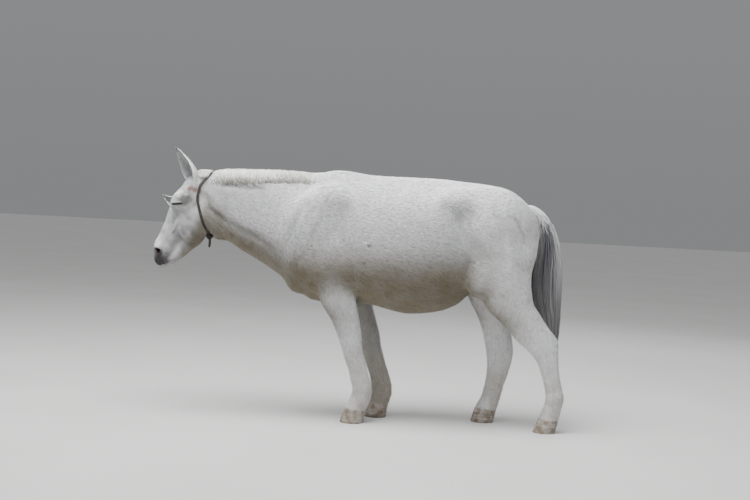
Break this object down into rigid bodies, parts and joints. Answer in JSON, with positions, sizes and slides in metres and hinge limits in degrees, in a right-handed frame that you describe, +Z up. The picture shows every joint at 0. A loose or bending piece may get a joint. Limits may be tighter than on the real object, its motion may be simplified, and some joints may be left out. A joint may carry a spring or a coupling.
{
  "type": "mule",
  "caption": "Standing pale mule at rest, head lowered and eyes nearly shut, with a short mane, a long tail and a thin strap round its throat; a still life-size model.",
  "frame": {"origin": "on the floor, below the middle of the box round the animal", "axes": "the nose points to -X, the tail to +X, the animal's left side to -Y, up is +Z"},
  "size_m": [2.0715, 0.5208, 1.3142],
  "materials": {
    "coat": "rough winter coat, pale grey with fine darker flecks",
    "leg_coat": "rough pale hair, a little soiled low down",
    "ear_coat": "short soft hair with pale rims",
    "mane_hair": "cream hair",
    "tail_hair": "long dark grey hair with a pale strip behind",
    "hoof_horn": "dull horn",
    "eye": "wet dark eye",
    "strap": "worn dark strap"
  },
  "bodies": {
    "root": {"torso": "coat", "neck": "coat", "head": "coat", "foreleg_left": "leg_coat", "foreleg_right": "leg_coat", "hindleg_left": "leg_coat", "hindleg_right": "leg_coat", "forehoof_left": "hoof_horn", "forehoof_right": "hoof_horn", "hindhoof_left": "hoof_horn", "hindhoof_right": "hoof_horn", "ear_left": "ear_coat", "ear_right": "ear_coat", "eye_left": "eye", "eye_right": "eye", "mane": "mane_hair", "forelock": "mane_hair", "tail": "tail_hair", "neck_strap": "strap", "strap_knot": "strap"}
  },
  "joints": []
}
